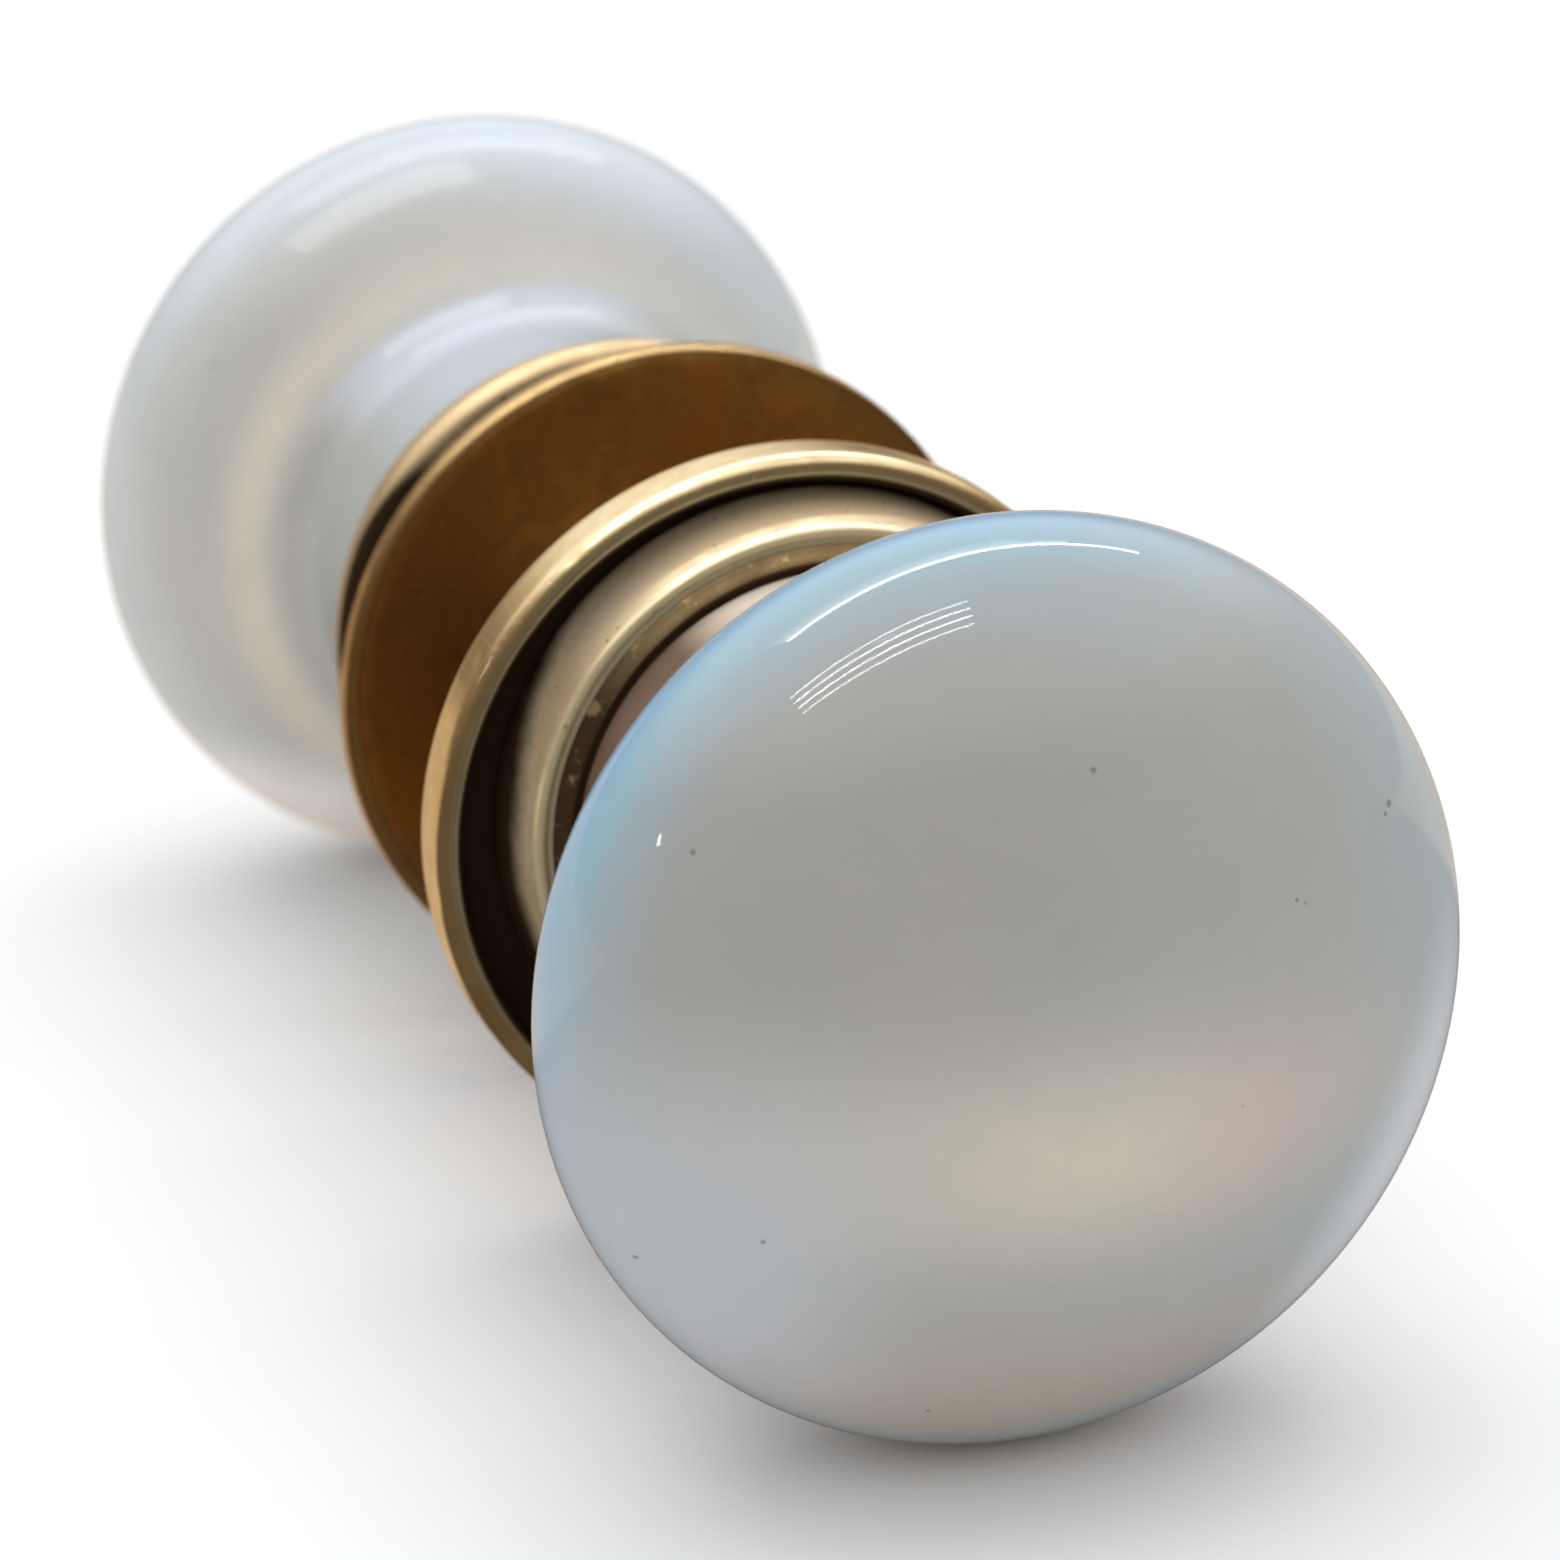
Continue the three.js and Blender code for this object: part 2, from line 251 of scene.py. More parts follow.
def turned(name, profile, segments, centre, sign, closed=True, displace=None):
    """Turned solid about the Y axis. centre is in metres, sign is the way t runs along Y."""
    def place(x, t, z):
        return x * MM, sign * t * MM, z * MM
    obj = link(lathe(name, profile, segments, place, closed, displace), name, centre)
    shade(obj)
    return obj


def cut(obj, *tools):
    """Boolean difference, applied at once. The tools are removed."""
    for tool in tools:
        mod = obj.modifiers.new("cut", "BOOLEAN")
        mod.operation = "DIFFERENCE"
        mod.solver = "EXACT"
        mod.object = tool
    bpy.context.view_layer.update()
    depsgraph = bpy.context.evaluated_depsgraph_get()
    mesh = bpy.data.meshes.new_from_object(obj.evaluated_get(depsgraph))
    obj.modifiers.clear()
    obj.data = mesh
    for tool in tools:
        bpy.data.objects.remove(tool)
    shade(obj)


def link_solid(bm, name):
    """Turns the faces of a closed bmesh outwards and links it as an object."""
    bmesh.ops.recalc_face_normals(bm, faces=bm.faces)
    face_outward(bm)
    mesh = bpy.data.meshes.new(name)
    bm.to_mesh(mesh)
    bm.free()
    return link(mesh, name)


def section(bm, outline, y):
    return [bm.verts.new((x * MM, y * MM, z * MM)) for x, z in outline]


def join_sections(bm, a, b):
    for i in range(len(a)):
        j = (i + 1) % len(a)
        bm.faces.new((a[i], b[i], b[j], a[j]))


def prism(name, outline, y0, y1):
    """Solid from a closed outline of (x, z), between y0 and y1, all in mm."""
    bm = bmesh.new()
    near_end, far_end = section(bm, outline, y0), section(bm, outline, y1)
    bm.faces.new(near_end)
    bm.faces.new(list(reversed(far_end)))
    join_sections(bm, near_end, far_end)
    return link_solid(bm, name)


def rounded_square(half, radius, steps):
    flat = half - radius
    out = []
    for centre_x, centre_z, start in ((flat, flat, 0), (-flat, flat, 90),
                                      (-flat, -flat, 180), (flat, -flat, 270)):
        for i in range(steps + 1):
            angle = math.radians(start + 90 * i / steps)
            out.append((centre_x + radius * math.cos(angle), centre_z + radius * math.sin(angle)))
    return out


def rod(name, radius, length, axis, centre):
    """Plain cutter cylinder along "X" or "Z", sizes in mm, centre in metres."""
    bm = bmesh.new()
    bmesh.ops.create_cone(bm, cap_ends=True, segments=48, radius1=radius * MM,
                          radius2=radius * MM, depth=length * MM)
    # turned a little about its own axis, so that its corner lines miss the lines of the piece
    bmesh.ops.rotate(bm, verts=bm.verts, matrix=Matrix.Rotation(0.0217, 3, "Z"))
    if axis == "X":
        bmesh.ops.rotate(bm, verts=bm.verts, matrix=Matrix.Rotation(math.pi / 2, 3, "Y"))
    mesh = bpy.data.meshes.new(name)
    bm.to_mesh(mesh)
    bm.free()
    return link(mesh, name, centre)


# ----------------------------------------------------------------------------
# shader graphs
# ----------------------------------------------------------------------------
class Value:
    """A node output that takes Python arithmetic. Each operation makes one Math node."""
    def __init__(self, nodes, socket):
        self.nodes = nodes
        self.socket = socket

    def __add__(self, other):
        return self.nodes.math("ADD", self, other)

    def __sub__(self, other):
        return self.nodes.math("SUBTRACT", self, other)

    def __rsub__(self, other):
        return self.nodes.math("SUBTRACT", other, self)

    def __mul__(self, other):
        return self.nodes.math("MULTIPLY", self, other)

    def __truediv__(self, other):
        return self.nodes.math("DIVIDE", self, other)


class Nodes:
    """Builds the node tree of a material or a world."""
    def __init__(self, owner, output="ShaderNodeOutputMaterial"):
        self.owner = owner
        self.output = output
        owner.use_nodes = True
        self.tree = owner.node_tree
        self.tree.nodes.clear()

    def node(self, kind, **props):
        node = self.tree.nodes.new(kind)
        for key, value in props.items():
            setattr(node, key, value)
        return node

    def put(self, socket, value):
        """Links or sets an input. A colour may leave out its alpha."""
        if isinstance(value, Value):
            value = value.socket
        if isinstance(value, bpy.types.NodeSocket):
            self.tree.links.new(value, socket)
        elif socket.type == "RGBA" and len(value) == 3:
            socket.default_value = (*value, 1)
        else:
            socket.default_value = value

    def math(self, operation, a, b=None, clamp=False):
        node = self.node("ShaderNodeMath", operation=operation, use_clamp=clamp)
        self.put(node.inputs[0], a)
        if b is not None:
            self.put(node.inputs[1], b)
        return Value(self, node.outputs[0])

    def from_axis(self, x, z):
        return self.math("SQRT", x * x + z * z)

    def bell(self, u, v):
        """1 at the origin, falling off like a bell curve in u and v."""
        return self.math("EXPONENT", (u * u + v * v) * -1.0)

    def vec(self, operation, a, b=None, scale=None):
        node = self.node("ShaderNodeVectorMath", operation=operation)
        self.put(node.inputs[0], a)
        if b is not None:
            self.put(node.inputs[1], b)
        if scale is not None:
            self.put(node.inputs["Scale"], scale)
        scalar = operation in ("DOT_PRODUCT", "DISTANCE")
        return Value(self, node.outputs["Value" if scalar else "Vector"])

    def xyz(self, vector):
        node = self.node("ShaderNodeSeparateXYZ")
        self.put(node.inputs[0], vector)
        return [Value(self, out) for out in node.outputs]

    def combine(self, x, y, z):
        node = self.node("ShaderNodeCombineXYZ")
        for socket, value in zip(node.inputs, (x, y, z)):
            self.put(socket, value)
        return Value(self, node.outputs[0])

    def object_place(self):
        return self.node("ShaderNodeTexCoord").outputs["Object"]

    def ramp(self, factor, stops):
        """stops: (position, colour)."""
        node = self.node("ShaderNodeValToRGB")
        node.color_ramp.interpolation = "EASE"
        elements = node.color_ramp.elements
        while len(elements) > 1:
            elements.remove(elements[-1])
        elements[0].position = stops[0][0]
        elements[0].color = (*stops[0][1], 1)
        for position, color in stops[1:]:
            elements.new(position).color = (*color, 1)
        self.put(node.inputs[0], factor)
        return Value(self, node.outputs[0])

    def ease(self, value, start, end, low=0.0, high=1.0):
        """Smooth step from low at start to high at end. start may lie above end."""
        node = self.node("ShaderNodeMapRange", interpolation_type="SMOOTHSTEP", clamp=True)
        self.put(node.inputs["Value"], value)
        node.inputs["From Min"].default_value = start
        node.inputs["From Max"].default_value = end
        node.inputs["To Min"].default_value = low
        node.inputs["To Max"].default_value = high
        return Value(self, node.outputs[0])

    def mix(self, factor, under, over, strength=None):
        """Colour `over` laid on `under`. strength scales the factor."""
        if strength is not None:
            factor = factor * strength
        node = self.node("ShaderNodeMix", data_type="RGBA", blend_type="MIX", clamp_factor=True)
        self.put(node.inputs[0], factor)
        self.put(node.inputs[6], under)
        self.put(node.inputs[7], over)
        return Value(self, node.outputs[2])

    def noise(self, vector, scale, detail, rough, distortion=0.0):
        node = self.node("ShaderNodeTexNoise")
        self.put(node.inputs["Vector"], vector)
        node.inputs["Scale"].default_value = scale
        node.inputs["Detail"].default_value = detail
        node.inputs["Roughness"].default_value = rough
        node.inputs["Distortion"].default_value = distortion
        return Value(self, node.outputs[0])

    def cells(self, vector, scale):
        """Distance to the nearest cell point, and three random numbers for each cell."""
        node = self.node("ShaderNodeTexVoronoi", feature="F1")
        self.put(node.inputs["Vector"], vector)
        node.inputs["Scale"].default_value = scale
        return Value(self, node.outputs["Distance"]), self.xyz(node.outputs["Color"])

    def hairlines(self, vector, stretch, width):
        """1 on a net of fine lines, the edges of stretched cells."""
        node = self.node("ShaderNodeTexVoronoi", feature="DISTANCE_TO_EDGE")
        self.put(node.inputs["Vector"], self.vec("MULTIPLY", vector, stretch))
        node.inputs["Scale"].default_value = 1.0
        return self.ease(node.outputs["Distance"], start=width, end=0.0)

    def bump(self, height, distance, strength, normal=None):
        node = self.node("ShaderNodeBump")
        self.put(node.inputs["Height"], height)
        node.inputs["Distance"].default_value = distance
        node.inputs["Strength"].default_value = strength
        if normal is not None:
            self.put(node.inputs["Normal"], normal)
        return Value(self, node.outputs[0])

    def shader(self, kind, values):
        node = self.node(kind)
        for key, value in values.items():
            self.put(node.inputs[key], value)
        return node.outputs[0]

    def principled(self, values):
        return self.shader("ShaderNodeBsdfPrincipled", values)

    def mix_shader(self, factor, first, second):
        return self.shader("ShaderNodeMixShader", {0: factor, 1: first, 2: second})

    def done(self, shader):
        node = self.node(self.output)
        self.tree.links.new(shader, node.inputs["Surface"])
        return self.owner


def new_material(name):
    return Nodes(bpy.data.materials.new(name))


def srgb(*channels):
    """sRGB 0..255 to linear."""
    return tuple((c / 255 / 12.92) if c / 255 <= 0.04045
                 else ((c / 255 + 0.055) / 1.055) ** 2.4 for c in channels)


# ----------------------------------------------------------------------------
# opal glass. Places are in glass radii from the middle of the bun.
# "facing" is 1 where the glass is seen square on and 0 at its outline.
# ----------------------------------------------------------------------------
# (facing, colour). The milk ramps are the glass's opalescent blue at its outline with painted
# shade, darker where the glass is seen square on. The blue ramp is painted bluer light, laid on
# the upper left.
FRONT_MILK = [(0.0, srgb(178, 194, 202)), (0.28, srgb(174, 187, 193)), (0.52, srgb(168, 176, 177)),
              (0.74, srgb(168, 169, 165)), (1.0, srgb(165, 162, 158))]
FRONT_BLUE = [(0.0, srgb(142, 181, 214)), (0.3, srgb(139, 179, 206)), (0.55, srgb(146, 178, 191)),
              (0.78, srgb(156, 170, 175)), (0.93, srgb(163, 163, 160)), (1.0, srgb(164, 162, 157))]
REAR_MILK = [(0.0, srgb(204, 212, 220)), (0.3, srgb(200, 206, 209)), (0.55, srgb(197, 200, 199)),
             (0.8, srgb(194, 192, 187)), (1.0, srgb(186, 184, 179))]

# dark specks on the front knob: x, z, radius, strength
FRONT_SPECKS = (
    (0.0, 0.617, 0.008, 0.55), (0.699, 0.42, 0.010, 0.5), (0.685, 0.405, 0.007, 0.5),
    (0.429, 0.302, 0.006, 0.55), (0.45, 0.292, 0.005, 0.45), (-0.662, -0.31, 0.007, 0.6),
    (-0.86, -0.40, 0.007, 0.5), (0.30, -0.10, 0.004, 0.4))

# painted light on the glass neck: warm light bounced from the brass, shaded low and lit paler
# above. "up" is the height over the distance from the axis, where the lower, shaded colour turns
# into the upper, lit one. "along" is where the painted light sets in, in mm from the middle.
NECK_BOUNCE_LIGHT = {
    "front": dict(up=(0.76, 0.95), lower=srgb(108, 70, 36), upper=srgb(240, 217, 196),
                  along=(19.5, 26.0), strength=0.94),
    "rear": dict(up=(0.2, 0.85), lower=srgb(150, 116, 84), upper=srgb(216, 196, 174),
                 along=(23.5, 28.0), strength=0.95),
}


def front_glass_color(m, place, facing):
    x, y, z = m.xyz(place)

    # painted bluer light where the glass is seen edge on, strongest towards the upper left
    body = m.ramp(facing, FRONT_MILK)
    painted_blue_light = m.ramp(facing, FRONT_BLUE)
    upper_left = m.vec("DOT_PRODUCT", place, (-0.57, 0.25, 0.78))
    body = m.mix(m.ease(upper_left, start=0.25, end=0.90), body, painted_blue_light)

    # painted warm glow of light through the glass, low on the face: an oval (centre, half size)
    # whose two ends bend up
    glow_x = (x + 0.02) / 0.62
    glow_z = (z + 0.16) / 0.235
    bend = glow_x * glow_x * 0.16
    glow = m.bell(glow_x, glow_z - bend) * m.ease(y, start=-0.05, end=-0.35)
    glow_color = m.mix(m.ease(x, start=0.0, end=0.45), srgb(210, 202, 187), srgb(213, 192, 180))
    body = m.mix(glow, body, glow_color, strength=0.92)

    # painted dull warm shade low on the face, under the glow
    shade_low = m.ease(z, start=-0.38, end=-0.78) * m.ease(facing, start=0.12, end=0.4)
    body = m.mix(shade_low, body, srgb(190, 172, 156), strength=0.70)

    # painted light gathered in a paler lavender rim at the lower right
    lower_right = m.vec("DOT_PRODUCT", place, (0.88, 0.0, -0.47))
    pale = m.ease(lower_right, start=0.64, end=0.93) * m.ease(facing, start=0.75, end=0.35)
    body = m.mix(pale, body, srgb(232, 234, 240))

    # painted light: a paler lavender cast at the lower left
    lower_left_light = m.ease(x, start=-0.25, end=-0.75) * m.ease(z, start=0.3, end=-0.35)
    return m.mix(lower_left_light, body, srgb(196, 200, 207), strength=0.7)


def rear_glass_color(m, place, facing):
    x, y, z = m.xyz(place)
    body = m.ramp(facing, REAR_MILK)
    radius = m.from_axis(x, z)
    neck_side = m.ease(y, start=0.08, end=-0.10)

    # painted warm light in a narrow ring round the hollow of the neck, strongest at the lower left
    off_ring = radius - 0.725
    ring = m.math("EXPONENT", off_ring * off_ring * -210.0)
    lower_left = m.vec("DOT_PRODUCT", place, (-0.75, 0, -0.66))
    ring = ring * (m.ease(lower_left, start=-0.75, end=0.5) * 0.45 + 0.45)
    body = m.mix(ring * neck_side, body, srgb(222, 215, 200))

    # sky on the upper side
    sky = m.ease(z, start=0.25, end=0.95) * m.ease(facing, start=0.98, end=0.6)
    body = m.mix(sky, body, srgb(200, 211, 222), strength=0.75)

    # shade inside the ring, weaker at the top
    inner = (m.ease(radius, start=0.70, end=0.62)
             * m.ease(z, start=0.75, end=0.20, low=0.45, high=1.0))
    body = m.mix(inner * neck_side, body, srgb(160, 160, 150), strength=0.65)

    # a little sky caught where the neck turns out of the bun
    top = m.vec("DOT_PRODUCT", place, (-0.25, 0, 0.97))
    caught = (m.ease(radius, start=0.56, end=0.60) * m.ease(radius, start=0.68, end=0.64)
              * m.ease(top, start=0.42, end=0.58))
    body = m.mix(caught * neck_side, body, srgb(208, 215, 230), strength=0.6)

    # painted warm glow of light through the glass: a soft oval (centre, half size) on the far face
    far_glow = m.bell((x + 0.05) / 0.60, (z + 0.20) / 0.26) * m.ease(y, start=0.05, end=0.35)
    body = m.mix(far_glow, body, srgb(212, 203, 190), strength=0.7)

    # light gathers in the lower rim
    under = m.ease(z, start=-0.48, end=-0.76) * m.ease(facing, start=0.96, end=0.60)
    return m.mix(under, body, srgb(248, 244, 240))


def opal_glass(side):
    m = new_material(f"opal_glass_{side}")
    radius = GLASS_RADIUS * MM
    geometry = m.node("ShaderNodeNewGeometry").outputs
    centre = m.node("ShaderNodeObjectInfo").outputs["Location"]
    place = m.vec("SCALE", m.vec("SUBTRACT", geometry["Position"], centre), scale=1.0 / radius)
    x, y, z = m.xyz(place)
    facing = m.math("ABSOLUTE", m.vec("DOT_PRODUCT", geometry["Normal"], geometry["Incoming"]))
    p = m.object_place()
    color = front_glass_color if side == "front" else rear_glass_color
    body = color(m, place, facing)

    # painted light on the neck: warm light bounced from the brass round it, paler above where it
    # is lit
    neck_light = NECK_BOUNCE_LIGHT[side]
    along = m.math("ABSOLUTE", y) * (radius / MM)
    up = z / m.from_axis(x, z)
    neck = m.mix(m.ease(up, *neck_light["up"]), neck_light["lower"], neck_light["upper"])
    body = m.mix(m.ease(along, *neck_light["along"]), body, neck, strength=neck_light["strength"])

    # cloudy, uneven milkiness
    cloud = m.noise(p, scale=55.0, detail=4.0, rough=0.55, distortion=0.4)
    body = m.mix(m.ease(cloud, start=0.3, end=0.7), body, srgb(190, 186, 178), strength=0.10)
    fine = m.noise(p, scale=420.0, detail=3.0, rough=0.6)
    body = m.mix(m.ease(fine, start=0.35, end=0.75), body, srgb(140, 142, 140), strength=0.05)

    # seeds and specks of dust, in one cell out of five
    distance, chance = m.cells(p, scale=150.0)
    speck = m.ease(distance, start=0.032, end=0.012) * m.math("GREATER_THAN", chance[0], 0.80)
    body = m.mix(speck, body, srgb(96, 92, 88), strength=0.75)
    if side == "front":
        for speck_x, speck_z, size, strength in FRONT_SPECKS:
            distance = m.vec("DISTANCE", m.combine(x, 0.0, z), (speck_x, 0.0, speck_z))
            on_face = m.math("LESS_THAN", y, 0.0)
            spot = m.ease(distance, start=size, end=size * 0.4) * on_face
            body = m.mix(spot, body, srgb(70, 66, 62), strength=strength)

    # slight waviness, and rubbed hairlines in the polish
    wave = m.noise(p, scale=38.0, detail=1.0, rough=0.4)
    normal = m.bump(wave, distance=0.000012, strength=0.4)
    hair = m.hairlines(p, stretch=(260.0, 60.0, 340.0), width=0.004)
    normal = m.bump(hair * -1.0, distance=0.000002, strength=0.12, normal=normal)
    polish = m.noise(p, scale=180.0, detail=4.0, rough=0.6)
    glass = m.principled({
        "Base Color": body,
        "IOR": 1.5,
        "Roughness": m.ease(polish, start=0.35, end=0.75, low=0.006, high=0.018),
        "Subsurface Weight": 0.45,
        "Subsurface Radius": (1.0, 0.85, 0.7),
        "Subsurface Scale": 0.0045,
        "Normal": normal,
    })

    # painted reflection: glossy rays see the glass as a dim warm glow, so the brass mirrors it dim
    # and warm
    painted_dim_glow = m.shader("ShaderNodeEmission", {"Color": (1.0, 0.78, 0.52), "Strength": 0.09})
    mirrored = m.node("ShaderNodeLightPath").outputs["Is Glossy Ray"]
    return m.done(m.mix_shader(m.math("MULTIPLY", mirrored, 0.85), glass, painted_dim_glow))


# ----------------------------------------------------------------------------
# brass. Masks take the distance from the axis r, the place y along it and the
# object place p, all in metres. Their limits are in mm.
# ----------------------------------------------------------------------------
BRASS_BRIGHT = (0.94, 0.80, 0.50)
BRASS_DARK = (0.55, 0.34, 0.13)
WORN_DARK = (0.34, 0.20, 0.08)


def along_mm(m, y):
    return m.math("ABSOLUTE", y) * PER_METRE


def upness(m, p, radius):
    """Height over the distance from the axis: 1 at the top of the piece."""
    return m.xyz(p)[2] * PER_METRE / radius


def dish_groove_shade(m, r, y, p):
    """Painted shade: black in the groove just inside the rim of a rose."""
    radius = r * PER_METRE
    ring = m.ease(radius, start=16.6, end=18.0) * m.ease(radius, start=22.0, end=21.5)
    return ring * m.ease(along_mm(m, y), start=1.2, end=1.6)


def flange_foot_shade(m, r, y, p):
    """Painted shade: black at the foot of the front flange, with an uneven edge, less at the top.
    """
    patchy = m.noise(p, scale=260.0, detail=4.0, rough=0.65)
    uneven = (patchy - 0.5) * 1.4
    up = upness(m, p, r * PER_METRE)
    higher = m.ease(up, start=0.15, end=0.85, low=0.0, high=2.9)
    return m.ease(along_mm(m, y) + uneven - higher, start=28.9, end=32.2)


def rear_flange_foot_shade(m, r, y, p):
    """Painted shade: narrow black edge at the foot of the rear flange, less at the top."""
    up = upness(m, p, r * PER_METRE)
    higher = m.ease(up, start=0.35, end=0.80, low=0.0, high=1.0)
    return m.ease(along_mm(m, y) - higher, start=32.9, end=33.5)


def shoulder_polish(m, r, y, p):
    """Polished edge of a flange, next to the glass."""
    return m.ease(along_mm(m, y), start=29.75, end=29.40)


def foot_ring_shade(m, r, y, p):
    """Painted shade over the ring at the foot of the glass, lighter towards the top and in uneven
    patches, full at its inner edge next to the glass.
    """
    patchy = m.noise(p, scale=520.0, detail=4.0, rough=0.7)
    lighter_patches = m.ease(patchy, start=0.58, end=0.70)
    radius = r * PER_METRE
    upper = m.ease(upness(m, p, radius), start=0.45, end=0.95, low=0.0, high=0.50)
    painted_shade = 0.98 - upper - lighter_patches * 0.60
    return m.math("MAXIMUM", painted_shade, m.ease(radius, start=16.75, end=16.35))


def brass(name, bright, dark, rough, patina, cavity_depth=0.9, cavity_reach=0.0035, turning=1.0,
          pits=0.0, painted_shade_color=(0.030, 0.015, 0.005), painted_shade=None, dents=0.35, metal=1.0, polish=None):
    """Tarnished brass.

    rough: lowest and highest roughness. patina: strength of the dark tarnish.
    cavity_depth, cavity_reach: strength and reach (m) of the painted shade in corners.
    turning: height of the lathe lines. pits: share of cells with a pit. dents: bump strength.
    painted shade and polish: masks. metal: metallic value of clean brass.
    """
    m = new_material(name)
    p = m.object_place()
    x, y, z = m.xyz(p)
    r = m.from_axis(x, z)

    # coordinates that run round the axis, so marks are circular like lathe marks
    safe_r = m.math("MAXIMUM", r, 0.0005)
    around = m.combine(x / safe_r * 1.6, z / safe_r * 1.6, (r * 1.0 + y * 1.37) * 2600.0)
    lines = m.noise(around, scale=1.0, detail=3.0, rough=0.65)

    # tarnish
    broad = m.noise(p, scale=95.0, detail=5.0, rough=0.6, distortion=0.3)
    blotch = m.noise(p, scale=320.0, detail=5.0, rough=0.62, distortion=0.6)
    tone = broad * 0.6 + blotch * 0.4
    color = m.mix(m.ease(tone, start=0.42, end=0.64), bright, dark, strength=patina)
    color = m.mix(m.ease(lines, start=0.45, end=0.75), color, dark, strength=0.12)

    # painted shade in corners and under the shade mask, with a ragged edge
    occlusion = m.node("ShaderNodeAmbientOcclusion", samples=8)
    occlusion.inputs["Distance"].default_value = cavity_reach
    cavity = m.ease(occlusion.outputs["AO"], start=0.85, end=0.30) * cavity_depth
    if painted_shade is not None:
        cavity = m.math("MAXIMUM", cavity, painted_shade(m, r, y, p))
    ragged = m.noise(p, scale=900.0, detail=4.0, rough=0.7)
    edge = m.ease(cavity + ragged * 0.5, start=0.28, end=0.75)
    cavity = m.math("MULTIPLY", cavity, edge, clamp=True)
    color = m.mix(cavity, color, painted_shade_color)

    roughness = m.ease(tone, start=0.35, end=0.7, low=rough[0], high=rough[1]) + lines * 0.05
    if polish is not None:
        shine = polish(m, r, y, p)
        roughness = roughness * (1.0 - shine) + shine * 0.17
        color = m.mix(shine, color, BRASS_BRIGHT, strength=0.85)
    roughness = roughness + cavity * 0.35

    # lathe lines, scratches and dents
    normal = m.bump(lines * turning, distance=0.0000045, strength=0.55)
    scratch = m.hairlines(p, stretch=(900.0, 210.0, 520.0), width=0.012)
    normal = m.bump(scratch * -1.0, distance=0.000010, strength=0.35, normal=normal)
    wobble = m.noise(p, scale=150.0, detail=2.5, rough=0.5)
    normal = m.bump(wobble, distance=0.00012, strength=dents, normal=normal)

    if pits > 0:
        # cell scale, share of cells with a pit, depth in metres
        for scale, share, depth in ((620.0, pits, 0.00005), (1400.0, pits * 1.6, 0.00002)):
            distance, chance = m.cells(p, scale)
            from_edge = distance - chance[1] * 0.16
            pit = (m.math("GREATER_THAN", chance[0], 1.0 - share)
                   * m.ease(from_edge, start=0.10, end=0.02))
            color = m.mix(pit, color, (0.06, 0.035, 0.015), strength=0.7)
            roughness = roughness + pit * 0.25
            normal = m.bump(pit * -1.0, distance=depth, strength=0.8, normal=normal)

    # the painted shade is neither metallic nor shiny
    return m.done(m.principled({
        "Metallic": m.math("SUBTRACT", metal, cavity * 0.85, clamp=True),
        "Base Color": color,
        "Specular IOR Level": 0.5 - cavity * 0.42,
        "Roughness": m.math("MINIMUM", roughness, 0.85),
        "Normal": normal,
    }))


# ----------------------------------------------------------------------------
# steel and plaster
# ----------------------------------------------------------------------------
def steel(name):
    m = new_material(name)
    p = m.object_place()
    dark = (0.13, 0.115, 0.10)
    along_y = m.vec("MULTIPLY", p, (2200.0, 130.0, 2200.0))
    grain = m.noise(along_y, scale=1.0, detail=4.0, rough=0.6)
    spots = m.noise(p, scale=240.0, detail=5.0, rough=0.65, distortion=0.5)
    rusty = m.noise(p, scale=130.0, detail=5.0, rough=0.7, distortion=0.8)
    rust = m.ease(rusty, start=0.56, end=0.70)
    color = m.mix(m.ease(spots, start=0.35, end=0.7), (0.42, 0.41, 0.39), dark)
    color = m.mix(m.ease(grain, start=0.4, end=0.7), color, dark, strength=0.25)
    color = m.mix(rust, color, (0.16, 0.07, 0.03), strength=0.5)
    normal = m.bump(grain, distance=0.000012, strength=0.6)
    return m.done(m.principled({
        "Metallic": 1.0 - rust * 0.6,
        "Base Color": color,
        "Roughness": m.ease(spots, start=0.3, end=0.7, low=0.30, high=0.52),
        "Normal": m.bump(spots, distance=0.00004, strength=0.35, normal=normal),
    }))


def plaster(name):
    m = new_material(name)
    p = m.object_place()
    grit = m.noise(p, scale=900.0, detail=6.0, rough=0.7)
    stain = m.noise(p, scale=160.0, detail=4.0, rough=0.6)
    stained = m.ease(stain, start=0.35, end=0.7)
    return m.done(m.principled({
        "Base Color": m.mix(stained, srgb(214, 206, 190), srgb(176, 162, 138)),
        "Roughness": 0.92,
        "Normal": m.bump(grit, distance=0.00015, strength=0.6),
    }))


def give(obj, material):
    obj.data.materials.clear()
    obj.data.materials.append(material)


polished_brass = brass("polished_brass", bright=BRASS_BRIGHT, dark=BRASS_DARK, rough=(0.13, 0.27),
                       patina=0.38, cavity_reach=0.0022, painted_shade=dish_groove_shade)
rim_brass = brass("rim_brass", bright=(0.66, 0.46, 0.22), dark=WORN_DARK, rough=(0.20, 0.36),
                  patina=0.55, cavity_reach=0.0022, painted_shade=dish_groove_shade)
foot_brass = brass("foot_brass", bright=(0.74, 0.54, 0.26), dark=WORN_DARK, rough=(0.26, 0.46),
                   patina=0.6, cavity_reach=0.0010, painted_shade_color=(0.046, 0.022, 0.009),
                   painted_shade=foot_ring_shade, dents=0.6)
FLANGE_FINISH = dict(dark=(0.56, 0.40, 0.21), rough=(0.36, 0.50), patina=0.6, pits=0.10,
                     cavity_reach=0.0010, cavity_depth=0.5, dents=0.4, polish=shoulder_polish)
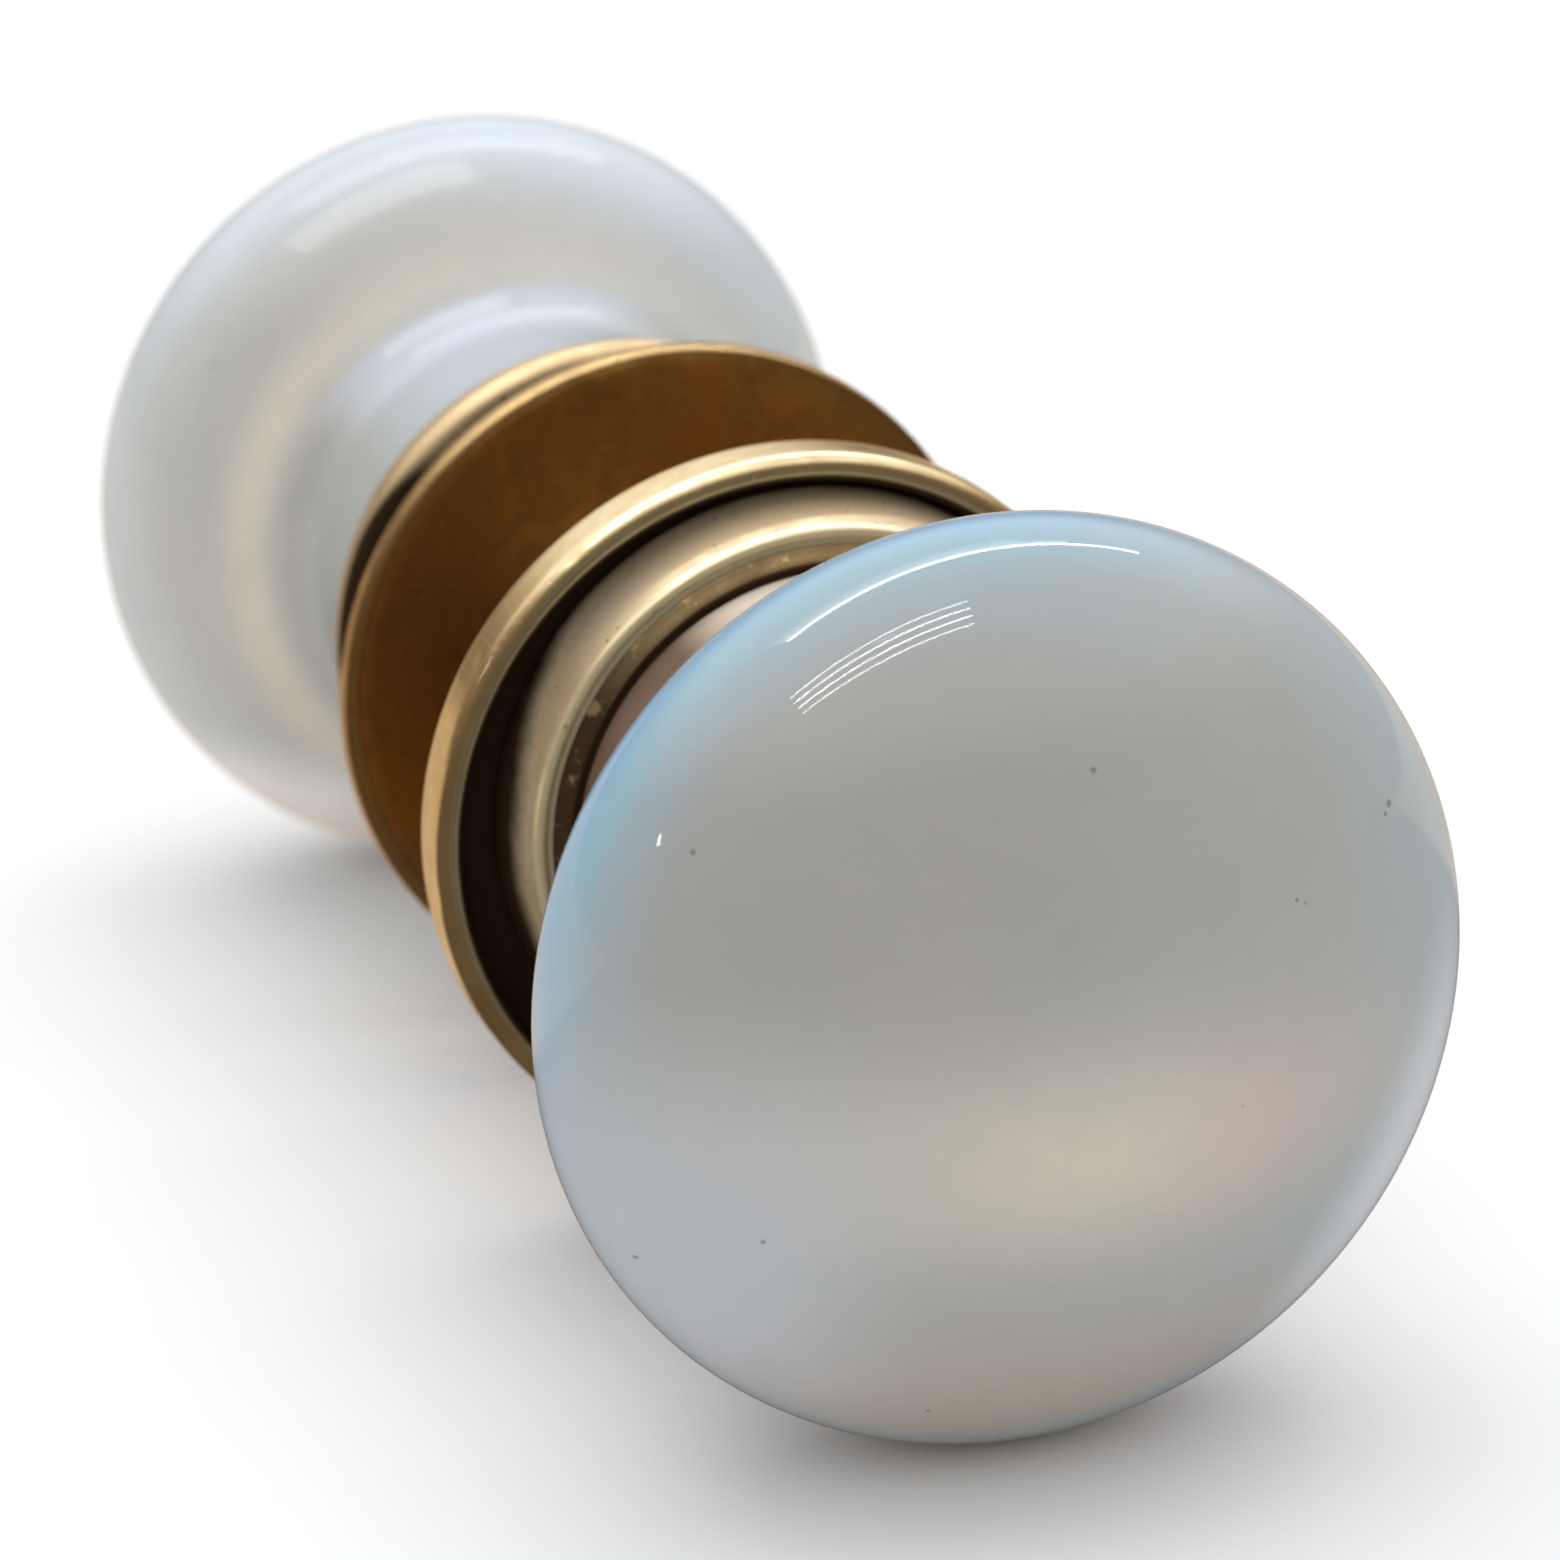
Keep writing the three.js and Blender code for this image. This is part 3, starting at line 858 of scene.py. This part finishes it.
flange_brass = brass("flange_brass", bright=(0.80, 0.63, 0.41), metal=0.62, painted_shade=flange_foot_shade,
                     **FLANGE_FINISH)
flange_brass_rear = brass("flange_brass_rear", bright=(0.76, 0.58, 0.345), metal=0.85,
                          painted_shade=rear_flange_foot_shade, **FLANGE_FINISH)
turned_brass = brass("turned_brass", bright=(0.74, 0.56, 0.30), dark=WORN_DARK,
                     rough=(0.22, 0.42), patina=0.6, turning=2.2)
back_brass = brass("back_brass", bright=(0.60, 0.36, 0.12), dark=(0.32, 0.17, 0.05),
                   rough=(0.26, 0.42), patina=0.8, cavity_depth=0.4)
spindle_steel = steel("spindle_steel")
setting_plaster = plaster("setting_plaster")


# ----------------------------------------------------------------------------
# profiles of the pieces
# ----------------------------------------------------------------------------
def glass_profile():
    """Oval bun, a flare into the neck, and the stepped socket inside the neck."""
    points = []
    first, last, steps = -90.0, 42.0, 96      # degrees round the bun
    for i in range(steps + 1):
        angle = math.radians(first + (last - first) * i / steps)
        points.append((HALF_DEPTH * math.sin(angle), max(0.0, GLASS_RADIUS * math.cos(angle))))
    points[0] = (points[0][0], 0.0)
    t, r = points[-1]
    points += bezier((t, r), (t + 1.7, r - 2.75), (NECK_START - 3.55, NECK_RADIUS),
                     (NECK_START, NECK_RADIUS), 30)
    socket = fillet([
        (NECK_START, NECK_RADIUS), (28.6, 16.0, 0.35), (28.6, 14.5, 0.25), (26.85, 14.5, 0.2),
        (26.85, 9.4, 0.5), (23.2, 9.4, 0.3), (22.7, 10.5, 0.3), (20.9, 10.5, 0.3),
        (20.4, 9.4, 0.3), (15.9, 9.4, 1.2), (15.9, 0.0)], closed=False)
    return refine(points + socket[1:], 0.9, closed=False)


def neck_profile():
    """Shallow ring with a worn lip round the foot of the glass."""
    return refine(fillet([
        (28.75, 16.12, 0.05), (28.7, 16.35, 0.08), (28.85, 16.7, 0.2), (29.05, 17.0, 0.25),
        (29.2, 17.3, 0.1), (29.35, 17.3, 0.04), (29.35, 11.0, 0.1), (28.85, 11.0, 0.1),
        (28.85, 16.12, 0.1)]), 0.6)


def flange_profile(side):
    """Flared collar with a small bead next to the glass. The outer edge differs by side."""
    bore = 8.4
    points = [(29.5, bore), (29.5, 17.5), (29.35, 17.62)]
    points += arc(29.5, 18.05, 0.42, 202, 127, 10)
    if side == "front":
        points += bezier(points[-1], (30.45, 18.80), (32.1, 19.36), (33.55, FLANGE_RADIUS), 16)
        points += arc(33.72, 19.14, 0.48, 80, 0, 8)
    else:
        points += bezier(points[-1], (30.2, 18.86), (31.6, 19.45), (32.9, FLANGE_RADIUS), 16)
        points += arc(33.1, 18.52, 1.1, 84, 0, 14)
    points += [(FLANGE_END, 18.3), (FLANGE_END, bore)]
    return refine(points, 0.6)


def shank_profile():
    """Plain round bar with a collar."""
    return refine(fillet([
        (16.7, 0.0), (16.7, 8.0, 0.6), (28.4, 8.0, 0.15), (28.4, 10.6, 0.3), (29.2, 10.6, 0.3),
        (29.2, 8.2, 0.15), (SHANK_END, 8.2, 0.55), (SHANK_END, 0.0)], closed=False),
        1.5, closed=False)


def rose_profile(side, radius):
    """Dished plate with a raised bead round its edge. t runs from its back face."""
    depth, floor, bead = 4.5, 1.75, 1.8
    hole = ROSE_HOLE_RADIUS
    if side == "rear":
        points = [(floor - 0.95, hole), (floor - 0.95, 21.64), (0.05, 21.64), (0.0, 21.69)]
        points += arc(0.5, radius - 0.5, 0.5, 166, 90, 10)
        points += arc(1.25, radius - 0.3, 0.3, 80, 20, 6)
        points += [(1.75, 21.3)]
        points += arc(2.75, 20.6, 0.65, 110, -90, 18)
        points += [(floor + 0.45, 19.95)]
        points += arc(floor + 0.3, 19.65, 0.3, 90, 180, 5)[1:]
    else:
        points = [(floor - 0.95, hole), (floor - 0.95, 21.4), (0.06, 21.4), (0.0, 21.46)]
        points += arc(1.3, radius - 1.3, 1.3, 180, 90, 12)
        points += [(2.4, radius)]
        points += arc(depth - bead / 2, radius - bead / 2, bead / 2, 90, -90, 22)
        points += [(floor + 0.55, radius - bead)]
        points += arc(floor + 0.45, radius - bead - 0.45, 0.45, 90, 180, 6)[1:]
    points += [(floor, 12.0), (floor + 0.12, 10.6), (floor - 0.05, 10.08), (floor - 0.2, hole)]
    return refine(points, 0.8)


def disc_profile(edge):
    """Thin flat ring."""
    thick, bore = 0.6, 10.2
    return refine(fillet([(0.0, bore, 0.1), (0.0, edge, 0.05), (thick, edge, 0.05),
                          (thick, bore, 0.05)], steps=3), 0.9)


# knocks in the rim of a rose: t, r, angle in degrees, radius of the knock, depth
ROSE_KNOCKS = ((2.2, 22.95, 150, 1.2, 0.10), (3.0, 22.95, 187, 1.6, 0.08),
               (3.9, 22.6, 128, 0.9, 0.07), (1.6, 22.9, 60, 1.1, 0.07))


def worn(seed, amount, knocks=(), shift=None):
    """Displacement for `turned`: slightly out of round by `amount` mm, with small knocks.
    shift moves the back inner edge of a rose by (x, z), fading out towards the outer edge."""
    offset = Vector((seed * 3.7, seed * 1.9, 5.0))

    def displace(r, t, angle):
        place = Vector((math.cos(angle) * 1.3, math.sin(angle) * 1.3, t * 0.05)) + offset
        wave = noise.noise(place) * amount
        new_r = r + wave
        new_t = t + noise.noise(place + Vector((9, 2, 1))) * amount * 0.5
        if shift is not None and t < 1.0 and r > 21.3:
            share = min(1.0, max(0.0, (22.3 - r) / 0.61))
            new_r += share * (shift[0] * math.cos(angle) + shift[1] * math.sin(angle))
            new_r -= share * wave
        for knock_t, knock_r, knock_angle, size, depth in knocks:
            turn = (angle - math.radians(knock_angle) + math.pi) % TAU - math.pi
            distance = math.hypot(t - knock_t, r - knock_r, r * turn)
            if distance < size:
                new_r -= (1 - (distance / size) ** 2) ** 2 * depth
        return new_r, new_t
    return displace


# ----------------------------------------------------------------------------
# pieces
# ----------------------------------------------------------------------------
def settle(obj, material, piece, body):
    give(obj, material)
    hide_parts(piece)
    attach(obj, body)


def fixing_place(side, z=0):
    return 0, (CENTRE_Y[side] + SIGN[side] * FIXING_T) * MM, z * MM


def screw_hole(name):
    return rod(name, SCREW_HOLE_RADIUS, SCREW_HOLE_DEPTH, "Z", fixing_place("rear", SCREW_HOLE_Z))


def pin_hole(length):
    return rod("cut_pin", PIN_HOLE_RADIUS, length, "X", fixing_place("front"))


def build_shank(side, centre, body):
    sign, middle = SIGN[side], CENTRE_Y[side]
    shank = turned(f"{side}_shank_turned", shank_profile(), 96, centre, sign, closed=False)
    square = prism("cut_square", rounded_square(SOCKET_HALF, 0.25, 4),
                   middle + sign * SOCKET_START, middle + sign * (SHANK_END + SOCKET_OVERRUN))
    cut(shank, square, pin_hole(30) if side == "front" else screw_hole("cut_screw"))
    settle(shank, turned_brass, f"{side}_shank", body)


def build_end(side):
    """Glass knob, ring at its foot, flange and shank."""
    front = side == "front"
    sign = SIGN[side]
    centre = (0.0, CENTRE_Y[side] * MM, 0.0)
    body = "knob_set" if front else "rear_knob"

    glass = turned(f"{side}_opal_glass", glass_profile(), 256, centre, sign, closed=False)
    settle(glass, opal_glass(side), f"{side}_glass_knob", body)

    neck = turned(f"{side}_neck", neck_profile(), 224, centre, sign,
                  displace=worn(seed=1 if front else 5, amount=0.02))
    settle(neck, foot_brass, f"{side}_neck_ferrule", body)

    flange = turned(f"{side}_flange", flange_profile(side), 224, centre, sign,
                    displace=worn(seed=2 if front else 6, amount=0.02))
    if not front:
        cut(flange, screw_hole("cut_hole"))
    settle(flange, flange_brass if front else flange_brass_rear,
           f"{side}_base_flange", body)

    build_shank(side, centre, body)


def build_rose(side):
    """Dished rose, and the thin disc at its back. t runs from the door to the knob."""
    front = side == "front"
    sign = -SIGN[side]
    lo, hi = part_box(f"{side}_rose")
    centre = ((lo.x + hi.x) / 2, hi.y if front else lo.y, (lo.z + hi.z) / 2)
    body = f"{side}_rose"
    shift = None if front else REAR_DISC_SHIFT

    shell = turned(f"{side}_rose_shell", rose_profile(side, (hi.x - lo.x) / 2 / MM), 320,
                   centre, sign,
                   displace=worn(seed=3 if front else 8, amount=0.03,
                                 knocks=ROSE_KNOCKS, shift=shift))
    settle(shell, polished_brass if front else rim_brass, f"{side}_rose", body)

    disc_centre = centre
    if shift is not None:
        disc_centre = (centre[0] + shift[0] * MM, centre[1], centre[2] + shift[1] * MM)
    disc = turned(f"{side}_rose_disc", disc_profile(edge=21.3 if front else 21.61), 320,
                  disc_centre, sign)
    settle(disc, back_brass, f"{side}_rose_back_disc", body)


def build_spindle():
    """Square bar with narrowed tips and a slightly thicker middle."""
    lo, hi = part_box("spindle")
    y0, y1 = lo.y / MM, hi.y / MM
    tip, end, middle = 3.55, 3.95, 4.0
    # y, half width
    stations = [(y0, tip), (y0 + 0.5, end), (-4.0, end), (-3.97, middle),
                (3.97, middle), (4.0, end), (y1 - 0.5, end), (y1, tip)]
    dense = []
    for (y_a, half_a), (y_b, half_b) in zip(stations, stations[1:]):
        count = max(1, int((y_b - y_a) / 2.0))
        for j in range(count):
            s = j / count
            dense.append((y_a + (y_b - y_a) * s, half_a + (half_b - half_a) * s))
    dense.append(stations[-1])
    bm = bmesh.new()
    rings = [section(bm, rounded_square(half, 0.5, 6), y) for y, half in dense]
    for a, b in zip(rings, rings[1:]):
        join_sections(bm, a, b)
    bm.faces.new(rings[0])
    bm.faces.new(list(reversed(rings[-1])))
    bar = link_solid(bm, "square_spindle")
    cut(bar, pin_hole(20))
    settle(bar, spindle_steel, "spindle", "knob_set")


def build_washer(side):
    lo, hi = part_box(f"{side}_packing_washer")
    y = (lo.y + hi.y) / 2
    half = (hi.y - lo.y) / MM / 2
    radius = 7.6
    profile = refine(fillet([(-half, 0.0), (-half, radius, 0.15), (half, radius, 0.15),
                             (half, 0.0)], closed=False, steps=4), 1.2, closed=False)
    ring = turned(f"{side}_washer", profile, 96, (0, y, 0), 1, closed=False)
    cut(ring, prism("cut_square", rounded_square(SOCKET_HALF, 0.2, 3), y / MM - 3, y / MM + 3))
    settle(ring, spindle_steel, f"{side}_packing_washer", "knob_set")


def build_screw():
    """Upright grub screw, tip up and slot down. Its thread is a row of fine rings."""
    lo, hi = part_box("rear_grub_screw")
    top, bottom = hi.z / MM, lo.z / MM
    y = (lo.y + hi.y) / 2
    length = top - bottom
    root, crest, pitch = 1.42, 1.68, 0.55
    # distance below the tip, radius
    profile = [(0.0, 0.0), (0.0, 0.9), (0.7, 1.55)]
    t = 1.0
    while t < length - 0.75:
        profile += [(t, root), (t + 0.15, crest), (t + 0.25, crest), (t + 0.4, root)]
        t += pitch
    profile += [(length - 0.3, crest), (length, 1.45), (length, 0.0)]

    def place(across_x, t, across_y):
        return across_x * MM, across_y * MM, (top - t) * MM

    name = "grub_screw_threaded"
    screw = link(lathe(name, profile, 64, place, closed=False), name, (0, y, 0))
    half_length, half_width, depth, overrun = 3, 0.3, 1.2, 2
    slot = prism("cut_slot", [(-half_length, bottom - overrun), (half_length, bottom - overrun),
                              (half_length, bottom + depth), (-half_length, bottom + depth)],
                 y / MM - half_width, y / MM + half_width)
    cut(screw, slot)
    settle(screw, spindle_steel, "rear_grub_screw", "grub_screw")


build_end("front")
build_end("rear")
build_rose("front")
build_rose("rear")
build_spindle()
build_washer("front")
build_washer("rear")
build_screw()

# hidden CAD pieces keep their solids and take a real finish
for piece, material in (("front_cement_bed", setting_plaster),
                        ("rear_cement_bed", setting_plaster),
                        ("front_anchor_disc", back_brass), ("rear_anchor_disc", back_brass),
                        ("front_cross_pin", spindle_steel)):
    give(frame["nodes"][piece], material)


# ----------------------------------------------------------------------------
# floor and world
# ----------------------------------------------------------------------------
WARM = (1.0, 0.74, 0.50)    # what polished parts mirror of the room


def build_floor():
    """Pale floor. Glossy rays see a painted reflection on it instead: a warm glow, darker than the
    floor and brighter towards +Y.
    """
    bm = bmesh.new()
    bmesh.ops.create_grid(bm, x_segments=1, y_segments=1, size=6.0)
    mesh = bpy.data.meshes.new("studio_floor")
    bm.to_mesh(mesh)
    bm.free()
    gap = 0.00002
    floor = link(mesh, "studio_floor", (0, 0, cad_lo.z - gap))

    m = new_material("studio_floor")
    pale = m.principled({"Base Color": (0.86, 0.86, 0.86), "Roughness": 0.9,
                         "Specular IOR Level": 0.1})
    y = m.xyz(m.node("ShaderNodeNewGeometry").outputs["Position"])[1]
    # painted reflection: a warm glow for glossy rays, dim near the knobs and brighter towards +Y
    mirrored = m.shader("ShaderNodeEmission", {
        "Color": WARM,
        "Strength": m.ease(y, start=0.004, end=0.018, low=0.12, high=0.62),
    })
    glossy = m.node("ShaderNodeLightPath").outputs["Is Glossy Ray"]
    give(floor, m.done(m.mix_shader(glossy, pale, mirrored)))


def build_world():
    world = bpy.data.worlds.new("studio")
    SCENE.world = world
    w = Nodes(world, output="ShaderNodeOutputWorld")
    x, y, z = w.xyz(w.node("ShaderNodeTexCoord").outputs["Generated"])

    # polished parts see a dim warm room under a bright ceiling that comes lowest at the back
    level = w.math("MAXIMUM", w.math("SQRT", x * x + y * y, 0.0), 0.001)
    to_right, to_back = x / level, y / level
    edge = 0.63 - w.math("MAXIMUM", to_back, 0.0) * 0.32
    edge = edge - w.math("MAXIMUM", to_back * -1.0, 0.0) * 0.03
    edge = edge - to_right * 0.05
    ceiling = w.ease(z - edge, start=-0.20, end=0.17)
    low = (w.ease(z, start=-0.3, end=0.35, low=0.08, high=0.18)
           + w.math("MAXIMUM", to_back, 0.0) * 0.10)

    path = w.node("ShaderNodeLightPath").outputs
    mirrored = w.shader("ShaderNodeBackground", {
        "Color": w.mix(ceiling, WARM, (1.0, 0.99, 0.97)),
        "Strength": low + ceiling * 0.95,
    })
    lighting = w.shader("ShaderNodeBackground", {
        "Color": (0.97, 0.985, 1.0),
        "Strength": w.ease(z, start=-0.1, end=1.0, low=0.72, high=1.02),
    })
    backdrop = w.shader("ShaderNodeBackground", {"Color": (0.93, 0.93, 0.93), "Strength": 1.0})
    room = w.mix_shader(path["Is Glossy Ray"], lighting, mirrored)
    w.done(w.mix_shader(path["Is Camera Ray"], room, backdrop))


# ----------------------------------------------------------------------------
# lights
# ----------------------------------------------------------------------------
front_centre = Vector((0, CENTRE_Y["front"] * MM, 0))

# both ends of the long light high behind the knobs, from the front knob
BACK_ENDS = ((-0.46, 0.47, 1.0), (0.90, 0.62, 1.0))

# straight lights: name, end, end (metres from the front knob), width, watts, colour
STRIPS = [
    # crisp arc near the top of the front knob, and the haze beside it
    ("strip_back", *BACK_ENDS, 0.030, 3.6, (0.97, 0.99, 1.0)),
    ("strip_back_haze_0", (-0.48, 0.515, 1.0), (0.60, 0.635, 1.0), 0.060, 0.55, (0.90, 0.96, 1.0)),
    ("strip_back_haze_1", (-0.50, 0.59, 1.0), (0.45, 0.70, 1.0), 0.090, 0.35, (0.88, 0.95, 1.0)),
    # four fine strips nearly overhead: the streaky second highlight
    *((f"strip_top_{i}", (-0.62, -0.285 + dy, 1.0), (0.10, -0.185 + dy, 1.0), 0.010, watts,
       (1.0, 0.97, 0.98))
      for i, (dy, watts) in enumerate(((-0.105, 0.42), (-0.035, 0.62),
                                       (0.035, 0.62), (0.105, 0.42)))),
    # small lamp low on the left: the tiny highlight on the left of the knob
    ("lamp_left", (-1.0, -0.055, 0.40), (-1.0, -0.012, 0.44), 0.02, 0.08, (1, 1, 1)),
    # broad and soft lights for the rear knob
    ("soft_back", *BACK_ENDS, 0.30, 2.4, (0.95, 0.98, 1.0)),
    ("soft_top", (-0.62, -0.02, 1.0), (0.20, 0.10, 1.0), 0.34, 2.2, (0.98, 0.99, 1.0)),
]


def rectangle_light(name, length, width, watts, color):
    light = bpy.data.lights.new(name, "AREA")
    light.shape = "RECTANGLE"
    light.size, light.size_y = length, width
    light.energy = watts
    light.color = color
    obj = bpy.data.objects.new(name, light)
    SCENE.collection.objects.link(obj)
    obj.visible_camera = False
    return obj


def strip(name, start, end, width, watts, color):
    """Strip light from start to end, facing the front knob, seen only in reflections."""
    start, end = front_centre + Vector(start), front_centre + Vector(end)
    middle = (start + end) / 2
    x_axis = (end - start).normalized()
    away = (middle - front_centre).normalized()
    y_axis = away.cross(x_axis).normalized()
    z_axis = x_axis.cross(y_axis).normalized()
    obj = rectangle_light(name, (end - start).length, width, watts, color)
    turn = Matrix((x_axis, y_axis, z_axis)).transposed()
    obj.matrix_world = Matrix.Translation(middle) @ turn.to_4x4()
    obj.visible_diffuse = False


def build_softbox():
    """Broad overhead light for shape, not seen in reflections."""
    obj = rectangle_light("softbox", length=1.6, width=1.2, watts=9.2, color=(1.0, 0.995, 0.985))
    obj.location = (0.05, 0.35, 1.25)
    obj.rotation_mode = "QUATERNION"
    obj.rotation_quaternion = (-obj.location).to_track_quat("-Z", "Y")
    obj.visible_glossy = False


def receivers(name, objects):
    collection = bpy.data.collections.new(name)
    SCENE.collection.children.link(collection)
    for obj in objects:
        collection.objects.link(obj)
    return collection


def link_lights():
    """The soft lights reach only the rear glass, the strips and the lamp all the rest."""
    rear_glass = bpy.data.objects["rear_opal_glass"]
    sharp = receivers("lit_by_strips", [obj for obj in SCENE.objects
                                        if obj.type == "MESH" and obj != rear_glass])
    soft = receivers("lit_softly", [rear_glass])
    for obj in SCENE.objects:
        if obj.type == "LIGHT" and obj.name.startswith(("strip_", "lamp_")):
            obj.light_linking.receiver_collection = sharp
        elif obj.type == "LIGHT" and obj.name.startswith("soft_"):
            obj.light_linking.receiver_collection = soft


# ----------------------------------------------------------------------------
# camera: long lens, about 20 degrees above the spindle and 20 degrees round to the left
# ----------------------------------------------------------------------------
def build_camera():
    # in camera space (right, down, forward): the direction of the spindle, and
    # the middle of the front glass in glass radii
    spindle = Vector((-0.34173, -0.32110, 0.88324))
    glass = Vector((0.45887, 0.41985, 11.28181)) * (GLASS_RADIUS * MM)

    world_up = Vector((0.0, -spindle.z, spindle.y)).normalized()
    world_x = spindle.cross(world_up)
    right, down, forward = (Vector((world_x[i], spindle[i], world_up[i])) for i in range(3))
    place = front_centre - (right * glass.x + down * glass.y + forward * glass.z)
    turn = Matrix((right, -down, -forward)).transposed()

    data = bpy.data.cameras.new("camera")
    data.sensor_width = 36.0
    data.lens = 126.923077
    data.clip_start, data.clip_end = 0.01, 50
    camera = bpy.data.objects.new("camera", data)
    SCENE.collection.objects.link(camera)
    camera.matrix_world = Matrix.Translation(place) @ turn.to_4x4()

    # sharpest a little behind and above the middle of the front glass
    focus = link(None, "focus_point", (0, (CENTRE_Y["front"] + 3.0) * MM, 0.010))
    data.dof.use_dof = True
    data.dof.focus_object = focus
    data.dof.aperture_fstop = 36.0
    SCENE.camera = camera


build_floor()
build_world()
for row in STRIPS:
    strip(*row)
build_softbox()
link_lights()
build_camera()

SCENE.view_settings.view_transform = "Standard"
SCENE.view_settings.look = "None"

bpy.context.view_layer.update()
